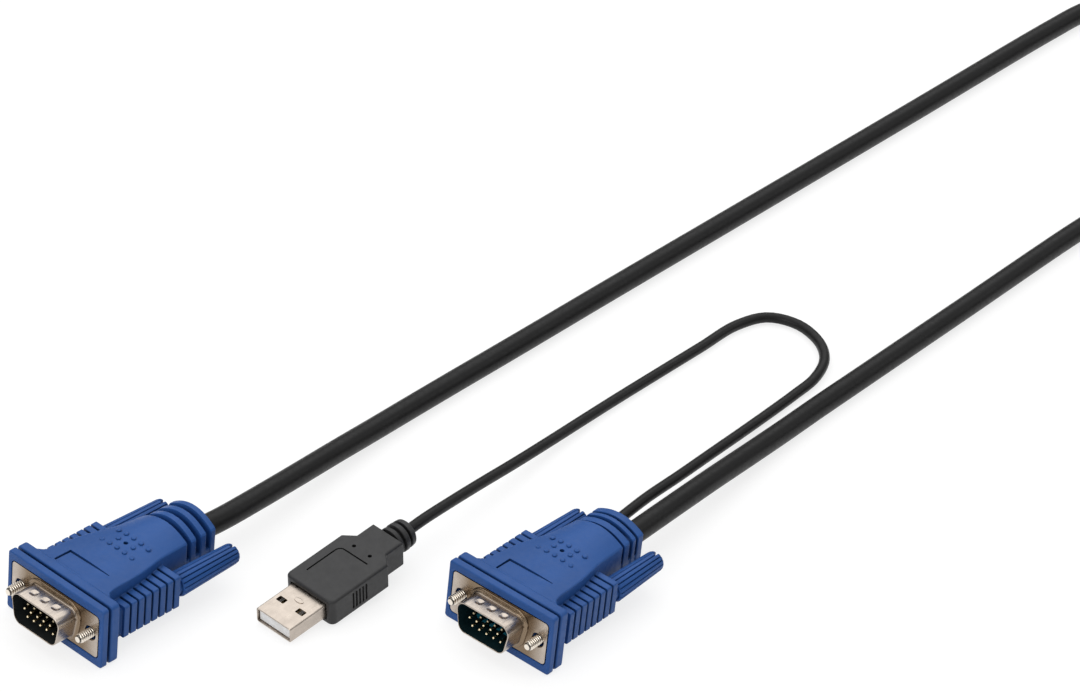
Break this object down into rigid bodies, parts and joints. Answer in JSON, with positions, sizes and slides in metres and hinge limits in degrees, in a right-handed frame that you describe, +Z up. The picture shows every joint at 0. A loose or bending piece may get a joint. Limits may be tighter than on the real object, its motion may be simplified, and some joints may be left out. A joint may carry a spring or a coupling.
{
  "type": "kvm cable",
  "caption": "Moulded KVM cable with a video plug and thumbscrews at each end and a USB-A pigtail from one of the plugs.",
  "frame": {"origin": "on the table, under the middle of the box round the two video plugs", "axes": "+Z up from the table, +Y from the plugs' mouths towards the cable, +X from the left plug to the right plug"},
  "size_m": [0.1386, 0.5023, 0.0179],
  "materials": {
    "blue_hood": "moulded blue PVC with a soft sheen",
    "nickel_shell": "nickel plated steel sheet, drawn",
    "gold_contact": "gold plated contact",
    "steel_screw": "nickel plated screw",
    "black_insulator": "moulded contact block",
    "teal_insulator": "moulded contact block",
    "cream_plastic": "moulded",
    "black_overmould": "moulded PVC, fine texture",
    "black_cable": "PVC sheath with a soft sheen",
    "black_tie": "woven strap"
  },
  "bodies": {
    "cable_and_plugs": {"left_hood": "blue_hood", "left_front_shell": "nickel_shell", "left_rear_shell": "nickel_shell", "left_insulator": "black_insulator", "left_pin_01": "gold_contact", "left_pin_02": "gold_contact", "left_pin_03": "gold_contact", "left_pin_04": "gold_contact", "left_pin_05": "gold_contact", "left_pin_06": "gold_contact", "left_pin_07": "gold_contact", "left_pin_08": "gold_contact", "left_pin_09": "gold_contact", "left_pin_10": "gold_contact", "left_pin_11": "gold_contact", "left_pin_12": "gold_contact", "left_pin_13": "gold_contact", "left_pin_14": "gold_contact", "left_pin_15": "gold_contact", "left_inner_mould": "cream_plastic", "right_hood": "blue_hood", "right_front_shell": "nickel_shell", "right_rear_shell": "nickel_shell", "right_insulator": "teal_insulator", "right_pin_01": "gold_contact", "right_pin_02": "gold_contact", "right_pin_03": "gold_contact", "right_pin_04": "gold_contact", "right_pin_05": "gold_contact", "right_pin_06": "gold_contact", "right_pin_07": "gold_contact", "right_pin_08": "gold_contact", "right_pin_09": "gold_contact", "right_pin_10": "gold_contact", "right_pin_11": "gold_contact", "right_pin_12": "gold_contact", "right_pin_13": "gold_contact", "right_pin_14": "gold_contact", "right_pin_15": "gold_contact", "right_inner_mould": "cream_plastic", "usb_overmould": "black_overmould", "usb_shell": "nickel_shell", "usb_contact_block": "cream_plastic", "usb_contact_1": "gold_contact", "usb_contact_2": "gold_contact", "usb_contact_3": "gold_contact", "usb_contact_4": "gold_contact", "main_cable_left_run": "black_cable", "main_cable_right_run": "black_cable", "main_cable_coil": "black_cable", "usb_cable": "black_cable", "coil_tie": "black_tie"},
    "left_far_thumbscrew": {"left_far_thumbscrew_knob": "blue_hood", "left_far_screw": "steel_screw"},
    "left_near_thumbscrew": {"left_near_thumbscrew_knob": "blue_hood", "left_near_screw": "steel_screw"},
    "right_far_thumbscrew": {"right_far_thumbscrew_knob": "blue_hood", "right_far_screw": "steel_screw"},
    "right_near_thumbscrew": {"right_near_thumbscrew_knob": "blue_hood", "right_near_screw": "steel_screw"}
  },
  "joints": [
    {"name": "left_far_thumbscrew_turn", "type": "hinge", "parent": "cable_and_plugs", "child": "left_far_thumbscrew", "pos_m": [-0.05078, -0.05983, 0.0088], "axis": [0.0192, 0.9998, 0], "continuous": true},
    {"name": "left_near_thumbscrew_turn", "type": "hinge", "parent": "cable_and_plugs", "child": "left_near_thumbscrew", "pos_m": [-0.02578, -0.06031, 0.0088], "axis": [0.0192, 0.9998, 0], "continuous": true},
    {"name": "right_far_thumbscrew_turn", "type": "hinge", "parent": "cable_and_plugs", "child": "right_far_thumbscrew", "pos_m": [0.02579, 0.01861, 0.0088], "axis": [-0.0192, 0.9998, 0], "continuous": true},
    {"name": "right_near_thumbscrew_turn", "type": "hinge", "parent": "cable_and_plugs", "child": "right_near_thumbscrew", "pos_m": [0.05079, 0.01909, 0.0088], "axis": [-0.0192, 0.9998, 0], "continuous": true}
  ]
}
